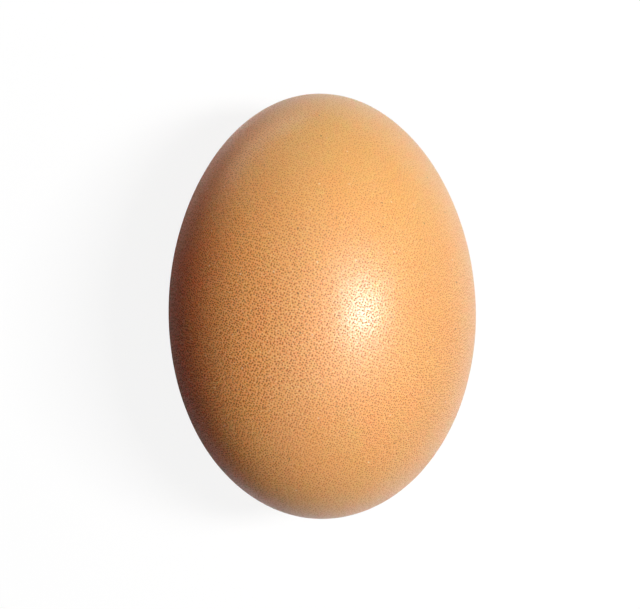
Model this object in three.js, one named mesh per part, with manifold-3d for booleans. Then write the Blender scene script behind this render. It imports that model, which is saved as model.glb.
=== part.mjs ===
// A brown hen's egg lying on its side: one closed solid, in millimetres, +Z up.
//
// The long axis runs along Y and the slightly narrower end points to +Y. The egg lies in
// the balance that an egg finds by itself on a level surface, with its centroid straight
// above the point it rests on, so the narrower end dips a little. A small flat spot is cut
// there at z = 0. The origin is on the surface, in the middle of the egg's outline.

import * as THREE from 'three';
import { mergeVertices } from 'three/addons/utils/BufferGeometryUtils.js';
import Module from 'manifold-3d';

// Driving dimensions.
const LENGTH = 59; // mm from pole to pole
const LENGTH_TO_WIDTH = 1.3856; // both measured on the outline
const TAPER = 0.035; // share by which the narrow half loses girth and the blunt half gains it
const FLAT_DEPTH = 0.12; // mm taken off the round underside by the resting spot

// How finely the smooth surface is cut into flat facets.
const STEPS_ALONG = 48;
const STEPS_AROUND = 64; // a multiple of four, so that a row of corners lies straight below

const SHELL_COLOUR = 0xe19e61;
const SHELL_ROUGHNESS = 0.4;

const HALF_LENGTH = LENGTH / 2;
const HALF_WIDTH = HALF_LENGTH / LENGTH_TO_WIDTH;

// The outline as a curve of one angle, 0 at the narrow pole and PI at the blunt pole:
// an ellipse whose radius is thinned towards the narrow pole and thickened towards the other.
const placeAlong = (angle) => HALF_LENGTH * Math.cos(angle);
const radiusAt = (angle) => HALF_WIDTH * Math.sin(angle) * (1 - TAPER * Math.cos(angle));

// How fast the radius changes for each millimetre towards the narrow pole.
const slopeAt = (angle) => {
  const placeRate = -HALF_LENGTH * Math.sin(angle);
  const radiusRate = HALF_WIDTH * (Math.cos(angle) - TAPER * Math.cos(2 * angle));
  return radiusRate / placeRate;
};

// Where the line square to the surface at this angle crosses the long axis.
const normalFootAt = (angle) => placeAlong(angle) + radiusAt(angle) * slopeAt(angle);

// The centroid's place on the long axis, from the volume integral of the outline.
const CENTROID_ALONG = (-HALF_LENGTH * 2 * TAPER) / 5 / (1 + TAPER ** 2 / 5);

/** The angle of the outline point that the egg rests on: its normal runs through the centroid. */
function restingAngle() {
  let nearNarrowPole = Math.PI / 4;
  let nearBluntPole = (3 * Math.PI) / 4;
  for (let halving = 0; halving < 50; halving += 1) {
    const middle = (nearNarrowPole + nearBluntPole) / 2;
    if (normalFootAt(middle) > CENTROID_ALONG) {
      nearNarrowPole = middle;
    } else {
      nearBluntPole = middle;
    }
  }
  return (nearNarrowPole + nearBluntPole) / 2;
}

/** The whole egg with no flat spot, turned about the Y axis from its outline. */
function roundEgg() {
  const outline = [];
  for (let step = 0; step <= STEPS_ALONG; step += 1) {
    const angle = Math.PI * (1 - step / STEPS_ALONG);
    const onAxis = step === 0 || step === STEPS_ALONG;
    outline.push(new THREE.Vector2(onAxis ? 0 : radiusAt(angle), placeAlong(angle)));
  }
  return new THREE.LatheGeometry(outline, STEPS_AROUND);
}

/** Tips the egg into its balance and sets it down, sunk by the depth of the flat spot. */
function layDown(geometry) {
  const dip = Math.atan(-slopeAt(restingAngle()));
  geometry.rotateX(-dip);
  geometry.computeBoundingBox();
  const { min, max } = geometry.boundingBox;
  geometry.translate(-(min.x + max.x) / 2, -(min.y + max.y) / 2, -min.z - FLAT_DEPTH);
  return geometry;
}

/** A block whose top face is the surface at z = 0 and which reaches past the egg all round. */
function blockBelow() {
  const block = new THREE.BoxGeometry(LENGTH, 2 * LENGTH, LENGTH);
  return block.translate(0, 0, -LENGTH / 2);
}

/** Turns a closed geometry into a solid, leaving out the faces that shrink to a line at a pole. */
function toSolid(geometry, wasm) {
  geometry.deleteAttribute('normal');
  geometry.deleteAttribute('uv');
  const merged = mergeVertices(geometry);
  const corners = merged.index.array;
  const faces = [];
  for (let first = 0; first < corners.length; first += 3) {
    const [a, b, c] = corners.slice(first, first + 3);
    if (a !== b && b !== c && c !== a) {
      faces.push(a, b, c);
    }
  }
  const mesh = new wasm.Mesh({
    numProp: 3,
    vertProperties: new Float32Array(merged.attributes.position.array),
    triVerts: new Uint32Array(faces),
  });
  return new wasm.Manifold(mesh);
}

/** Turns a solid back into a geometry with flat-shaded facets. */
function toGeometry(solid) {
  const { vertProperties, triVerts } = solid.getMesh();
  const geometry = new THREE.BufferGeometry();
  geometry.setAttribute('position', new THREE.BufferAttribute(vertProperties, 3));
  geometry.setIndex(new THREE.BufferAttribute(triVerts, 1));
  geometry.computeVertexNormals();
  return geometry;
}

const wasm = await Module();
wasm.setup();

const whole = toSolid(layDown(roundEgg()), wasm);
const withFlatSpot = whole.subtract(toSolid(blockBelow(), wasm));

const shell = new THREE.MeshStandardMaterial({
  color: SHELL_COLOUR,
  roughness: SHELL_ROUGHNESS,
  metalness: 0,
});

const egg = new THREE.Mesh(toGeometry(withFlatSpot), shell);
egg.name = 'egg';

const part = new THREE.Group();
part.add(egg);

export default part;
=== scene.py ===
"""A brown hen's egg lying on its side: its fine shell surface, its finish and a plain studio.

The egg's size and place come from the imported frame. The shell is one closed piece, made of a
fine cube net drawn out to the egg's curve, and it stands for the frame's plain faceted egg.
Everything is in metres, with +Y towards the egg's narrower end and +Z up.
"""

import logging
import math
from dataclasses import dataclass
from enum import Enum
from typing import Any

import bmesh
import bpy
from mathutils import Matrix, Vector, noise


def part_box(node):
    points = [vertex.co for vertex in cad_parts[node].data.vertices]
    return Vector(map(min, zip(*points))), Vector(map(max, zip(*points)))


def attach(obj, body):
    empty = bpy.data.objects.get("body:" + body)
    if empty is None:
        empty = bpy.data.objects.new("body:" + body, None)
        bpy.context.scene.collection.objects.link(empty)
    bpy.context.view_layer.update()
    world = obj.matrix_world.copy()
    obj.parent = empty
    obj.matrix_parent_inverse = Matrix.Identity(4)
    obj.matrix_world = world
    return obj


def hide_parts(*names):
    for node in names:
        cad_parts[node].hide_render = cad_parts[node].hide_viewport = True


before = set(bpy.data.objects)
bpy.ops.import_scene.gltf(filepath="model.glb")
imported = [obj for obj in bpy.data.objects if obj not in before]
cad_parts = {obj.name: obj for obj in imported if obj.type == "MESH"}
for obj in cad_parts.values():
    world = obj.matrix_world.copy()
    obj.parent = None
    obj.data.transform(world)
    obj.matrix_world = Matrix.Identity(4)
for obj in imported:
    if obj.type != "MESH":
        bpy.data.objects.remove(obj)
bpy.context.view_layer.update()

LOG = logging.getLogger("egg")
MM = 0.001
EIGHTH_TURN = math.pi / 4

# A Mix node's sockets for colours come after those for numbers and vectors.
MIX_UNDER = 6
MIX_OVER = 7
MIX_RESULT = 2

Colour = tuple[float, float, float, float]
Triple = tuple[float, float, float]

WHITE: Colour = (1.0, 1.0, 1.0, 1.0)


def srgb(red: int, green: int, blue: int) -> Colour:
    """Turns a colour as a paint chart gives it, 0 to 255, into the linear one that shaders take.

    Args:
        red: The red share, 0 to 255.
        green: The green share, 0 to 255.
        blue: The blue share, 0 to 255.

    Returns:
        The linear colour with full alpha.
    """

    def linear(share: int) -> float:
        """Undoes the display curve for one channel."""
        value = share / 255
        return value / 12.92 if value <= 0.04045 else ((value + 0.055) / 1.055) ** 2.4

    return (linear(red), linear(green), linear(blue), 1.0)


class Sum(Enum):
    """The ways in which a Math node combines two numbers here."""

    ADD = "ADD"
    SUBTRACT = "SUBTRACT"
    MULTIPLY = "MULTIPLY"
    DIVIDE = "DIVIDE"
    MAXIMUM = "MAXIMUM"
    GREATER_THAN = "GREATER_THAN"


@dataclass
class NodeBench:
    """Adds nodes to one node tree and joins them up."""

    tree: bpy.types.NodeTree

    def add(self, kind: str, settings: dict[str, Any] | None = None, **sockets: Any) -> bpy.types.Node:
        """Adds a node, sets it up and feeds its inputs.

        Args:
            kind: The node's Blender type name, without the leading ShaderNode.
            settings: Properties of the node itself.
            **sockets: Input names, with spaces as underscores, and a value or an output for each.

        Returns:
            The new node.
        """
        node = self.tree.nodes.new("ShaderNode" + kind)
        for name, value in (settings or {}).items():
            setattr(node, name, value)
        for name, value in sockets.items():
            self.feed(node.inputs[name.replace("_", " ")], value)
        return node

    def feed(self, socket: bpy.types.NodeSocket, value: Any) -> None:
        """Links an output to a socket, or sets the socket's own value.

        Args:
            socket: The input to feed.
            value: Another node's output, or a plain value.
        """
        if isinstance(value, bpy.types.NodeSocket):
            self.tree.links.new(value, socket)
        else:
            socket.default_value = value

    def math(self, way: Sum, first: Any, second: Any) -> bpy.types.NodeSocket:
        """Combines two numbers.

        Args:
            way: How the two are combined.
            first: A number or an output.
            second: A number or an output.

        Returns:
            The result's output.
        """
        node = self.add("Math", {"operation": way.value})
        self.feed(node.inputs[0], first)
        self.feed(node.inputs[1], second)
        return node.outputs[0]

    def ramp(
        self, value: Any, start: Any, end: Any, low: Any = 0.0, high: Any = 1.0
    ) -> bpy.types.NodeSocket:
        """Turns a stretch of values smoothly into another.

        Args:
            value: The output to read.
            start: The value that gives low.
            end: The value that gives high.
            low: The result at start and before it.
            high: The result at end and past it.

        Returns:
            The result's output.
        """
        node = self.add("MapRange", {"interpolation_type": "SMOOTHSTEP"}, Value=value)
        for name, given in (("From Min", start), ("From Max", end), ("To Min", low), ("To Max", high)):
            self.feed(node.inputs[name], given)
        return node.outputs["Result"]

    def lay(self, share: Any, under: Any, over: Any) -> bpy.types.NodeSocket:
        """Lays one colour over another.

        Args:
            share: How much of the upper colour shows, 0 to 1.
            under: The lower colour.
            over: The upper colour.

        Returns:
            The combined colour's output.
        """
        node = self.add("Mix", {"data_type": "RGBA"}, Factor=share)
        self.feed(node.inputs[MIX_UNDER], under)
        self.feed(node.inputs[MIX_OVER], over)
        return node.outputs[MIX_RESULT]


@dataclass(frozen=True)
class Fade:
    """A smooth change from low at start to high at end, across the egg or over any other value.

    Attributes:
        start: Where the change starts, in half sizes of the egg or in the value's own units.
        end: Where the change ends, in the same.
        low: The result at start and before it.
        high: The result at end and past it.
    """

    start: float
    end: float
    low: float = 0.0
    high: float = 1.0

    def over(self, bench: NodeBench, value: Any, half_size: float = 1.0) -> bpy.types.NodeSocket:
        """Reads the change off a value.

        Args:
            bench: The material's bench.
            value: The output to read.
            half_size: Half the egg's size along that value, or 1 for the value's own units.

        Returns:
            The result's output.
        """
        return bench.ramp(value, self.start * half_size, self.end * half_size, self.low, self.high)


@dataclass(frozen=True)
class MarkGroup:
    """The node group that dots a flat plan of a surface with round marks, each with its own strength.

    Attributes:
        name: The group's name.
        unevenness: How far the marks leave an even grid, 0 to 1.
    """

    name: str = "scattered_marks"
    unevenness: float = 0.66

    def tree(self) -> bpy.types.NodeTree:
        """Builds the group once.

        Returns:
            The group. It takes Plan and the sizes of a Scatter, and puts out Mark, 0 to 1.
        """
        found = bpy.data.node_groups.get(self.name)
        if found is not None:
            return found
        group = bpy.data.node_groups.new(self.name, "ShaderNodeTree")
        group.interface.new_socket("Plan", in_out="INPUT", socket_type="NodeSocketVector")
        for name in ("Spacing", "Radius", "Core", "Rarity", "Weakest"):
            group.interface.new_socket(name, in_out="INPUT", socket_type="NodeSocketFloat")
        group.interface.new_socket("Mark", in_out="OUTPUT", socket_type="NodeSocketFloat")
        bench = NodeBench(group)
        given = group.nodes.new("NodeGroupInput").outputs
        scale = bench.math(Sum.DIVIDE, 1.0, given["Spacing"])
        flat = {"feature": "F1", "voronoi_dimensions": "2D"}
        points = bench.add("TexVoronoi", flat, Vector=given["Plan"], Scale=scale)
        points.inputs["Randomness"].default_value = self.unevenness
        away = bench.math(Sum.MULTIPLY, points.outputs["Distance"], given["Spacing"])
        core = bench.math(Sum.MULTIPLY, given["Radius"], given["Core"])
        dot = bench.ramp(away, given["Radius"], core)
        chance = bench.add("SeparateColor", Color=points.outputs["Color"]).outputs["Red"]
        strength = bench.ramp(chance, given["Rarity"], 1.0, given["Weakest"])
        present = bench.math(Sum.GREATER_THAN, chance, given["Rarity"])
        mark = bench.math(Sum.MULTIPLY, dot, bench.math(Sum.MULTIPLY, strength, present))
        bench.feed(group.nodes.new("NodeGroupOutput").inputs["Mark"], mark)
        return group


@dataclass(frozen=True)
class Scatter:
    """One kind of mark: how far apart, how wide, how sharp, how rare and how strong.

    Attributes:
        spacing: The distance between neighbouring marks, in metres.
        radius: Where a mark ends, in metres from its middle.
        share: How strong the strongest mark is, 0 to 1.
        core: The share of the radius inside which a mark has its full strength.
        rarity: The share of the marks left out. Below 0, none is, and few are weak.
        weakest: How strong the weakest mark is, against the strongest.
        aside: How far the marks are moved across the plan, in metres, and twice that along it,
            so that two kinds don't fall together.
        turn: How far the marks are turned on the plan, in radians, for the same end.
    """

    spacing: float
    radius: float
    share: float
    core: float = 0.35
    rarity: float = -0.2
    weakest: float = 0.3
    aside: float = 0.0
    turn: float = 0.0

    def mark(
        self, bench: NodeBench, plan: Any, openness_and_relief_shade: Any = 1.0, spread: Any = 1.0
    ) -> bpy.types.NodeSocket:
        """Scatters the marks over a plan.

        Args:
            bench: The material's bench.
            plan: The plan's coordinates, in metres.
            openness_and_relief_shade: How much of the marks' strength is left here.
            spread: How many times their own radius the marks reach here.

        Returns:
            The marks' output, from 0 to the marks' share.
        """
        moved = bench.add("Mapping", Vector=plan)
        moved.inputs["Location"].default_value = (self.aside, 2 * self.aside, 0.0)
        moved.inputs["Rotation"].default_value = (0.0, 0.0, self.turn)
        marks = bench.add(
            "Group",
            {"node_tree": MarkGroup().tree()},
            Plan=moved.outputs["Vector"],
            Spacing=self.spacing,
            Radius=bench.math(Sum.MULTIPLY, spread, self.radius),
            Core=self.core,
            Rarity=self.rarity,
            Weakest=self.weakest,
        )
        strength = bench.math(Sum.MULTIPLY, marks.outputs["Mark"], self.share)
        return bench.math(Sum.MULTIPLY, strength, openness_and_relief_shade)


@dataclass(frozen=True)
class EggshellFinish:
    """The brown shell's satin cuticle, with its pores, pits and granules, its slow drift of colour and
    its painted shade on the -X side.

    Attributes:
        narrow_end: The ground colour at the narrower end.
        blunt_end: The ground colour at the blunt end.
        warm_painted_shade: The ground colour where the shell turns towards -X: a painted shade, redder
            and less blue, for the side away from the key light.
        deep_painted_shade: The ground colour at the shell's -X edge: a darker, redder painted shade
            there.
        blotch: The colour of the broad cloudy patches.
        pore: The colour of the pores.
        halo: The colour of the warm rim round each pore.
        pit: The colour of the finer pits between the pores.
        granule: The colour of the cuticle's pale granules.
        chalk: The colour of the few specks of lime.
        pigment: The colour of the few dark brown specks.
        pores: How the pores lie.
        halos: How their rims lie, on the same middles as the pores.
        pits: How the pits lie.
        granules: How the granules lie.
        chalk_flecks: How the specks of lime lie.
        pigment_flecks: How the dark brown specks lie.
        end_drift: The ground's change from the blunt end to the narrower one.
        warm_shade_drift: The ground's change to the warm painted shade towards -X.
        deep_shade_drift: The ground's change to the darker painted shade at the -X edge.
        side_wander: How far the cloudy patches push both side changes along X.
        blotch_size: The width of the cloudy patches.
        blotch_strength: How the patches' noise turns into their strength.
        narrow_filling: How the cuticle fills the pores towards the narrower end.
        blunt_filling: How the cuticle fills the pores towards the blunt end.
        side_relief_shade: How the marks weaken towards +X: a painted relief shade, flatter where the
            key light meets the shell head on.
        side_spread: How much wider the marks are towards -X: a painted relief shade, stronger where
            the key light grazes the shell.
        grain_size: The width of the shell's fine grain.
        grain_height: The height of the grain.
        pore_depth: The depth of the pores and pits.
        roughness: The roughness of the cuticle.
        pore_roughness: How much rougher the pores are.
        refraction: The cuticle's index of refraction.
        glow_weight: How much light enters the shell and comes out nearby.
        glow_reach: How far it spreads.
        glow_by_colour: Each colour's part of that reach.
    """

    narrow_end: Colour = srgb(242, 190, 117)
    blunt_end: Colour = srgb(238, 183, 116)
    # Painted shade: the next two colours redden and darken the -X side, away from the key light.
    warm_painted_shade: Colour = srgb(255, 186, 106)
    deep_painted_shade: Colour = srgb(243, 125, 55)
    blotch: Colour = srgb(245, 174, 100)
    pore: Colour = srgb(84, 30, 0)
    halo: Colour = srgb(242, 128, 0)
    pit: Colour = srgb(234, 86, 0)
    granule: Colour = srgb(255, 236, 190)
    chalk: Colour = srgb(255, 232, 196)
    pigment: Colour = srgb(96, 44, 14)
    pores: Scatter = Scatter(
        spacing=0.38 * MM, radius=0.12 * MM, share=1.0, core=0.55, weakest=0.4, turn=0.45
    )
    halos: Scatter = Scatter(
        spacing=0.38 * MM, radius=0.16 * MM, share=0.85, core=0.5, weakest=0.4, turn=0.45
    )
    pits: Scatter = Scatter(
        spacing=0.27 * MM, radius=0.10 * MM, share=0.85, core=0.4, weakest=0.4, aside=0.19, turn=1.1
    )
    granules: Scatter = Scatter(
        spacing=0.28 * MM, radius=0.11 * MM, share=0.8, core=0.4, aside=0.37, turn=0.8
    )
    chalk_flecks: Scatter = Scatter(
        spacing=5.6 * MM, radius=0.20 * MM, share=0.7, rarity=0.3, aside=0.53
    )
    pigment_flecks: Scatter = Scatter(
        spacing=6.4 * MM, radius=0.18 * MM, share=0.8, rarity=0.3, aside=0.71
    )
    end_drift: Fade = Fade(start=-1.0, end=1.0)
    # Painted shade: where the ground turns into the two -X shade colours.
    warm_shade_drift: Fade = Fade(start=-0.05, end=-0.45)
    deep_shade_drift: Fade = Fade(start=-0.35, end=-1.05)
    side_wander: float = 4.0 * MM
    blotch_size: float = 9.0 * MM
    blotch_strength: Fade = Fade(start=0.4, end=0.75, high=0.35)
    narrow_filling: Fade = Fade(start=-0.2, end=0.8, low=1.0, high=0.47)
    blunt_filling: Fade = Fade(start=-0.45, end=-0.95, low=1.0, high=0.65)
    # Painted relief shade: the marks weaken towards +X and widen towards -X, following the key light.
    side_relief_shade: Fade = Fade(start=-0.9, end=0.2, low=1.0, high=0.62)
    side_spread: Fade = Fade(start=-0.9, end=0.1, low=1.15, high=1.0)
    grain_size: float = 0.28 * MM
    grain_height: float = 0.02 * MM
    pore_depth: float = 0.028 * MM
    roughness: float = 0.335
    pore_roughness: float = 0.6
    refraction: float = 1.63
    glow_weight: float = 0.7
    glow_reach: float = 24.0 * MM
    glow_by_colour: Triple = (1.0, 0.06, 0.02)

    def cloud(self, bench: NodeBench, place: Any, size: float) -> bpy.types.NodeSocket:
        """Makes a soft noise.

        Args:
            bench: The material's bench.
            place: The coordinates to read.
            size: The width of its lumps, in metres.

        Returns:
            The noise's output, about 0.5 on average.
        """
        return bench.add("TexNoise", Vector=place, Scale=1 / size).outputs["Fac"]

    def ground(
        self, bench: NodeBench, place: Any, half_width: float, half_length: float
    ) -> bpy.types.NodeSocket:
        """Mixes the slow drift of the shell's colour from end to end, and a painted shade that turns
        redder and then darker towards the -X side, away from the key light.

        Args:
            bench: The material's bench.
            place: The object's coordinates.
            half_width: Half the egg's width.
            half_length: Half the egg's length.

        Returns:
            The colour's output.
        """
        spot = bench.add("SeparateXYZ", Vector=place).outputs
        lumps = self.cloud(bench, place, self.blotch_size)
        side = bench.math(Sum.ADD, spot["X"], bench.math(Sum.MULTIPLY, lumps, self.side_wander))
        ends = self.end_drift.over(bench, spot["Y"], half_length)
        # Painted shade: the ground reddens and darkens towards -X, away from the key light.
        warm = self.warm_shade_drift.over(bench, side, half_width)
        deep = self.deep_shade_drift.over(bench, side, half_width)
        ground = bench.lay(ends, self.blunt_end, self.narrow_end)
        ground = bench.lay(warm, ground, self.warm_painted_shade)
        ground = bench.lay(deep, ground, self.deep_painted_shade)
        return bench.lay(self.blotch_strength.over(bench, lumps), ground, self.blotch)

    def openness_and_relief_shade(
        self, bench: NodeBench, place: Any, half_width: float, half_length: float
    ) -> bpy.types.NodeSocket:
        """Finds how strong the marks are: the cuticle fills the pores towards the ends, and a painted
        relief shade weakens them towards +X, which faces the key light.

        Args:
            bench: The material's bench.
            place: The object's coordinates.
            half_width: Half the egg's width.
            half_length: Half the egg's length.

        Returns:
            The output, 1 where the pores are fully open and the painted relief shade is strongest.
        """
        spot = bench.add("SeparateXYZ", Vector=place).outputs
        narrow = self.narrow_filling.over(bench, spot["Y"], half_length)
        blunt = self.blunt_filling.over(bench, spot["Y"], half_length)
        # Painted relief shade: the marks weaken towards +X, which faces the key light.
        side = self.side_relief_shade.over(bench, spot["X"], half_width)
        return bench.math(Sum.MULTIPLY, bench.math(Sum.MULTIPLY, narrow, blunt), side)

    def material(self, half_width: float, half_length: float, plan_name: str) -> bpy.types.Material:
        """Makes the shell's material.

        Args:
            half_width: Half the egg's width.
            half_length: Half the egg's length.
            plan_name: The name of the UV map that lays the shell out in metres.

        Returns:
            The material.
        """
        shell = bpy.data.materials.new("brown_eggshell")
        shell.use_nodes = True
        bench = NodeBench(shell.node_tree)
        principled = shell.node_tree.nodes["Principled BSDF"]
        place = bench.add("TexCoord").outputs["Object"]
        plan = bench.add("UVMap", {"uv_map": plan_name}).outputs["UV"]
        across = bench.add("SeparateXYZ", Vector=place).outputs["X"]
        # Painted relief shade: the marks widen towards -X, where the key light grazes the shell.
        spread = self.side_spread.over(bench, across, half_width)
        openness_and_relief_shade = self.openness_and_relief_shade(bench, place, half_width, half_length)
        pits = self.pits.mark(bench, plan, openness_and_relief_shade, spread)
        pores = self.pores.mark(bench, plan, openness_and_relief_shade, spread)

        colour = self.ground(bench, place, half_width, half_length)
        for share, paint in (
            (self.granules.mark(bench, plan, openness_and_relief_shade), self.granule),
            (self.halos.mark(bench, plan, openness_and_relief_shade, spread), self.halo),
            (pits, self.pit),
            (pores, self.pore),
            (self.chalk_flecks.mark(bench, plan), self.chalk),
            (self.pigment_flecks.mark(bench, plan), self.pigment),
        ):
            colour = bench.lay(share, colour, paint)
        bench.feed(principled.inputs["Base Color"], colour)

        worn = bench.math(Sum.MULTIPLY, pores, self.pore_roughness)
        bench.feed(principled.inputs["Roughness"], bench.math(Sum.ADD, worn, self.roughness))

        lumps = self.cloud(bench, place, self.grain_size)
        grain = bench.math(Sum.MULTIPLY, lumps, self.grain_height)
        holes = bench.math(Sum.MULTIPLY, bench.math(Sum.MAXIMUM, pores, pits), self.pore_depth)
        height = bench.math(Sum.SUBTRACT, grain, holes)
        # The height is in metres, so the bump takes it as it is.
        bump = bench.add("Bump", Strength=1.0, Distance=1.0, Height=height)
        bench.feed(principled.inputs["Normal"], bump.outputs["Normal"])

        principled.inputs["IOR"].default_value = self.refraction
        principled.inputs["Subsurface Weight"].default_value = self.glow_weight
        principled.inputs["Subsurface Radius"].default_value = self.glow_by_colour
        principled.inputs["Subsurface Scale"].default_value = self.glow_reach
        return shell


@dataclass
class Egg:
    """The whole egg: one closed shell surface on the curve that the frame's egg has.

    Attributes:
        low: The lowest corner of the frame's egg.
        high: The highest corner of the frame's egg.
        taper: How much narrower the rings get from the middle to the narrower pole, as a share.
        flat_depth: How much of the underside the resting spot takes off.
        bow: How far the middle of the long axis stands off a straight line between its ends.
        net_cuts: How many cuts each edge of the cube net gets.
        swell_height: The height of the shell's slow unevenness.
        swell_size: The width of its lumps.
        sides_apart: How far apart the net's sides are laid out, in half lengths of the egg.
        finish: The shell's finish.
        name: The shell's name.
        plan_name: The name of the UV map that lays the shell out in metres.
    """

    low: Vector
    high: Vector
    taper: float = 0.035
    flat_depth: float = 0.12 * MM
    bow: float = 0.18 * MM
    net_cuts: int = 127
    swell_height: float = 0.03 * MM
    swell_size: float = 7.0 * MM
    sides_apart: float = 3.0
    finish: EggshellFinish = EggshellFinish()
    name: str = "eggshell"
    plan_name: str = "shell_plan"

    @property
    def half_width(self) -> float:
        """Half the width of the widest ring."""
        return (self.high.x - self.low.x) / 2

    @property
    def half_length(self) -> float:
        """Half the distance from pole to pole."""
        return (self.high.y - self.low.y) / 2 / math.cos(self.dip)

    @property
    def dip(self) -> float:
        """How far the narrower end dips so that the centroid is above the resting spot, in radians."""
        length = (self.high.y - self.low.y) / 2
        width = self.half_width
        # The taper moves the centroid of the solid towards the blunt end.
        centroid = -2 / 5 * self.taper * length
        # The resting spot's place along the egg, as a share of half its length.
        rest = (width**2 * self.taper + length * centroid) / (length**2 - width**2)
        return math.atan(width / length * (rest + self.taper))

    def on_shell(self, way: Vector) -> Vector:
        """Finds the shell's surface point for a direction from the middle, before the egg dips.

        Args:
            way: A unit vector, with Y along the egg.

        Returns:
            The point, in metres from the middle of the long axis.
        """
        ring = self.half_width * (1 - self.taper * way.y)
        aside = self.bow * (1 / 2 - way.y**2)
        return Vector((ring * way.x + aside, self.half_length * way.y, ring * way.z))

    def swell(self, way: Vector, point: Vector) -> Vector:
        """Works out how far the slow unevenness of a laid shell moves a point.

        Args:
            way: The point's direction from the middle.
            point: The point on the even curve.

        Returns:
            The move, in metres.
        """
        width, length = self.half_width, self.half_length
        outward = Vector((way.x / width, way.y / length, way.z / width)).normalized()
        return outward * (noise.noise(point / self.swell_size) * self.swell_height)

    def lay_out(self, net: bmesh.types.BMesh) -> None:
        """Lays each side of the cube net out flat, in metres and clear of the other sides.

        Args:
            net: The net, while it is still a cube two units wide.
        """
        plan = net.loops.layers.uv.new(self.plan_name)
        half_sizes = Vector((self.half_width, self.half_length, self.half_width))
        reach = half_sizes * EIGHTH_TURN
        for face in net.faces:
            middle = face.calc_center_median()
            facing = max(range(3), key=lambda axis: abs(middle[axis]))
            across, along = [axis for axis in (0, 2, 1) if axis != facing]
            side = 2 * facing + (middle[facing] > 0)
            aside = side * self.sides_apart * self.half_length
            for loop in face.loops:
                spot = loop.vert.co
                loop[plan].uv = (spot[across] * reach[across] + aside, spot[along] * reach[along])

    def build(self) -> bpy.types.Object:
        """Makes the shell's mesh and puts it in the scene.

        Returns:
            The shell.
        """
        net = bmesh.new()
        bmesh.ops.create_cube(net, size=2.0)
        bmesh.ops.subdivide_edges(net, edges=net.edges[:], cuts=self.net_cuts, use_grid_fill=True)
        self.lay_out(net)
        for vertex in net.verts:
            way = Vector(math.tan(EIGHTH_TURN * side) for side in vertex.co).normalized()
            point = self.on_shell(way)
            vertex.co = point + self.swell(way, point)
        lean = Matrix.Rotation(-self.dip, 3, "X")
        bmesh.ops.rotate(net, verts=net.verts, cent=(0, 0, 0), matrix=lean)
        lowest = min(vertex.co.z for vertex in net.verts)
        bmesh.ops.translate(net, verts=net.verts, vec=(0, 0, -lowest - self.flat_depth))
        for vertex in net.verts:
            vertex.co.z = max(vertex.co.z, 0.0)
        bmesh.ops.recalc_face_normals(net, faces=net.faces)
        mesh = bpy.data.meshes.new(self.name)
        net.to_mesh(mesh)
        net.free()
        mesh.shade_smooth()
        shell = bpy.data.objects.new(self.name, mesh)
        bpy.context.scene.collection.objects.link(shell)
        return shell

    def dress(self, shell: bpy.types.Object) -> None:
        """Gives the shell its finish and its place among the frame's parts.

        Args:
            shell: The shell's object.
        """
        paint = self.finish.material(self.half_width, self.half_length, self.plan_name)
        shell.data.materials.append(paint)
        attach(shell, "root")
        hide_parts("egg")


@dataclass(frozen=True)
class Lamp:
    """An oblong area light that looks at the egg and isn't in view itself.

    Attributes:
        name: The light's name.
        way: The direction from the egg to the light.
        distance: How far away it is, in metres.
        width: The length of its horizontal sides, in metres.
        height: The length of its other sides, in metres.
        level: 1 for light at which a surface facing it renders as its colour is written.
    """

    name: str
    way: Triple
    distance: float
    width: float
    height: float
    level: float

    def hang(self, middle_height: float) -> None:
        """Puts the light in the scene.

        Args:
            middle_height: The height of the egg's middle above the floor.
        """
        light = bpy.data.lights.new(self.name, "AREA")
        light.shape = "RECTANGLE"
        light.size = self.width
        light.size_y = self.height
        light.energy = self.level * (math.pi * self.distance) ** 2
        lamp = bpy.data.objects.new(self.name, light)
        toward = Vector(self.way).normalized()
        lamp.location = toward * self.distance + Vector((0, 0, middle_height))
        lamp.rotation_euler = toward.to_track_quat("Z", "Y").to_euler()
        lamp.visible_camera = False
        bpy.context.scene.collection.objects.link(lamp)


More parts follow.
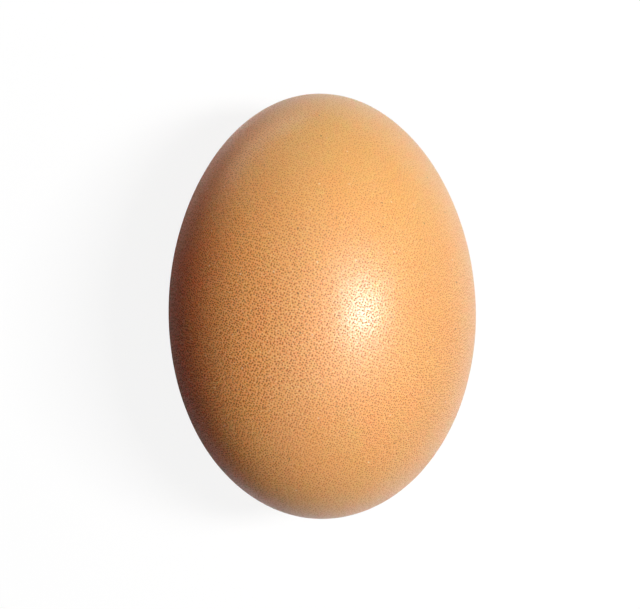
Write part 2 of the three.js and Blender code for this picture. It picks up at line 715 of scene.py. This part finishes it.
@dataclass
class Studio:
    """A plain pale floor, three lamps, a white surrounding and the camera.

    Attributes:
        middle_height: The height of the egg's middle above the floor.
        floor_half: Half the floor's width.
        key: The small lamp at one side that gives the highlight.
        fill: The soft lamp almost overhead.
        strip: The narrow lamp that stands low by the narrower end.
        world_level: How much light the surroundings add.
        mirrored_share: How bright the white surroundings are in the shell's reflections.
        floor_seen: The part of the floor's white that comes from the lamps and so shows the shadow.
        card_bounce: How pale the floor is to the egg where the white card lies.
        far_bounce: How pale it is away from the card.
        card_middle: The card's middle.
        card_shape: How the distance from the card's middle counts along each axis.
        card_reach: How far the card goes.
        card_fade: Where the card has faded out.
        lens: The camera's focal length, in millimetres.
        sensor: The width of its sensor, in millimetres.
        clip: The nearest and the farthest that it sees.
        frame_width: The width of what it sees at the egg's middle.
        roll: How far it is turned about its own axis, in radians.
        aim: The point that it looks at, in X and Y.
    """

    middle_height: float
    floor_half: float = 4.0
    key: Lamp = Lamp(
        "key_light",
        way=(0.491, 0.034, 0.871),
        distance=0.6,
        width=0.08,
        height=0.23,
        level=1.09,
    )
    fill: Lamp = Lamp(
        "fill_light",
        way=(0.15, -0.10, 0.97),
        distance=0.8,
        width=0.6,
        height=0.6,
        level=0.175,
    )
    strip: Lamp = Lamp(
        "strip_light",
        way=(-0.50, 0.86, -0.13),
        distance=0.104,
        width=0.09,
        height=0.014,
        level=0.11,
    )
    world_level: float = 0.02
    mirrored_share: float = 0.03
    floor_seen: float = 0.12
    card_bounce: float = 0.9
    far_bounce: float = 0.04
    card_middle: Triple = (26.0 * MM, 14.0 * MM, 0.0)
    card_shape: Triple = (1.0, 0.57, 1.0)
    card_reach: float = 40.0 * MM
    card_fade: float = 80.0 * MM
    lens: float = 135.0
    sensor: float = 36.0
    clip: tuple[float, float] = (0.01, 100.0)
    frame_width: float = 88.9 * MM
    roll: float = math.radians(-0.65)
    aim: tuple[float, float] = (-0.20 * MM, 0.19 * MM)

    def seen_white(self, bench: NodeBench) -> bpy.types.NodeSocket:
        """Finds how white a ray sees the surroundings: fully in view, faintly in a reflection.

        Args:
            bench: The bench of the floor's or the world's tree.

        Returns:
            The output, 1 for rays from the camera or through glass and 0 for those that light the egg.
        """
        path = bench.add("LightPath").outputs
        mirrored = bench.math(Sum.MULTIPLY, path["Is Glossy Ray"], self.mirrored_share)
        seen = bench.math(Sum.MAXIMUM, path["Is Camera Ray"], mirrored)
        return bench.math(Sum.MAXIMUM, seen, path["Is Transmission Ray"])

    def card(self, bench: NodeBench) -> bpy.types.NodeSocket:
        """Finds how pale the floor is to the egg: a white card under it, set to one side.

        Args:
            bench: The bench of the floor's tree.

        Returns:
            The output, from the far floor's paleness to the card's.
        """
        place = bench.add("TexCoord").outputs["Object"]
        centred = bench.add("VectorMath", {"operation": "SUBTRACT"})
        bench.feed(centred.inputs[0], place)
        bench.feed(centred.inputs[1], self.card_middle)
        oval = bench.add("VectorMath", {"operation": "MULTIPLY"})
        bench.feed(oval.inputs[0], centred.outputs["Vector"])
        bench.feed(oval.inputs[1], self.card_shape)
        away = bench.add("VectorMath", {"operation": "LENGTH"})
        bench.feed(away.inputs[0], oval.outputs["Vector"])
        edge = (self.card_reach, self.card_fade)
        return bench.ramp(away.outputs["Value"], *edge, self.card_bounce, self.far_bounce)

    def floor(self) -> bpy.types.Object:
        """Lays the floor, which looks white where it is lit and keeps the egg's soft shadow.

        Returns:
            The floor.
        """
        net = bmesh.new()
        bmesh.ops.create_grid(net, x_segments=1, y_segments=1, size=self.floor_half)
        mesh = bpy.data.meshes.new("floor")
        net.to_mesh(mesh)
        net.free()
        floor = bpy.data.objects.new("floor", mesh)
        bpy.context.scene.collection.objects.link(floor)
        paint = bpy.data.materials.new("pale_floor")
        paint.use_nodes = True
        bench = NodeBench(paint.node_tree)
        paint.node_tree.nodes.clear()
        seen = self.seen_white(bench)
        turned = bench.add("MapRange", Value=seen, To_Min=self.card(bench), To_Max=self.floor_seen)
        pale = turned.outputs["Result"]
        grey = bench.add("CombineColor", Red=pale, Green=pale, Blue=pale).outputs["Color"]
        matt = bench.add("BsdfDiffuse", Color=grey)
        lift = bench.math(Sum.MULTIPLY, seen, 1 - self.floor_seen)
        glow = bench.add("Emission", Color=WHITE, Strength=lift)
        both = bench.add("AddShader")
        bench.feed(both.inputs[0], matt.outputs[0])
        bench.feed(both.inputs[1], glow.outputs[0])
        bench.add("OutputMaterial", Surface=both.outputs[0])
        mesh.materials.append(paint)
        return floor

    def world(self) -> None:
        """Surrounds the scene with white that adds only a low, even light."""
        world = bpy.data.worlds.new("surroundings")
        bpy.context.scene.world = world
        world.use_nodes = True
        bench = NodeBench(world.node_tree)
        level = bench.math(Sum.MAXIMUM, self.seen_white(bench), self.world_level)
        background = world.node_tree.nodes["Background"]
        background.inputs["Color"].default_value = WHITE
        bench.feed(background.inputs["Strength"], level)

    def camera(self) -> None:
        """Sets the camera straight above the egg, looking down on it."""
        lens = bpy.data.cameras.new("camera")
        lens.lens = self.lens
        lens.sensor_width = self.sensor
        lens.clip_start, lens.clip_end = self.clip
        camera = bpy.data.objects.new("camera", lens)
        distance = self.frame_width * self.lens / self.sensor
        camera.location = (*self.aim, self.middle_height + distance)
        camera.rotation_euler = (0, 0, self.roll)
        bpy.context.scene.collection.objects.link(camera)
        bpy.context.scene.camera = camera

    def build(self) -> None:
        """Sets up the whole studio."""
        self.floor()
        self.world()
        for lamp in (self.key, self.fill, self.strip):
            lamp.hang(self.middle_height)
        self.camera()
        bpy.context.scene.view_settings.view_transform = "Standard"


def report(piece: bpy.types.Object) -> None:
    """Says through the log what a piece is made of.

    Args:
        piece: The finished piece.
    """
    piece.data.calc_loop_triangles()
    size = [round(side / MM, 2) for side in piece.dimensions]
    LOG.info("%s: %d triangles, %s mm", piece.name, len(piece.data.loop_triangles), size)


def main() -> None:
    """Builds the egg, then the studio around it."""
    logging.basicConfig(level=logging.INFO, format="%(name)s: %(message)s")
    low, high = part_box("egg")
    egg = Egg(Vector(low), Vector(high))
    shell = egg.build()
    egg.dress(shell)
    report(shell)
    Studio(middle_height=(low[2] + high[2]) / 2).build()


if __name__ == "__main__":
    main()
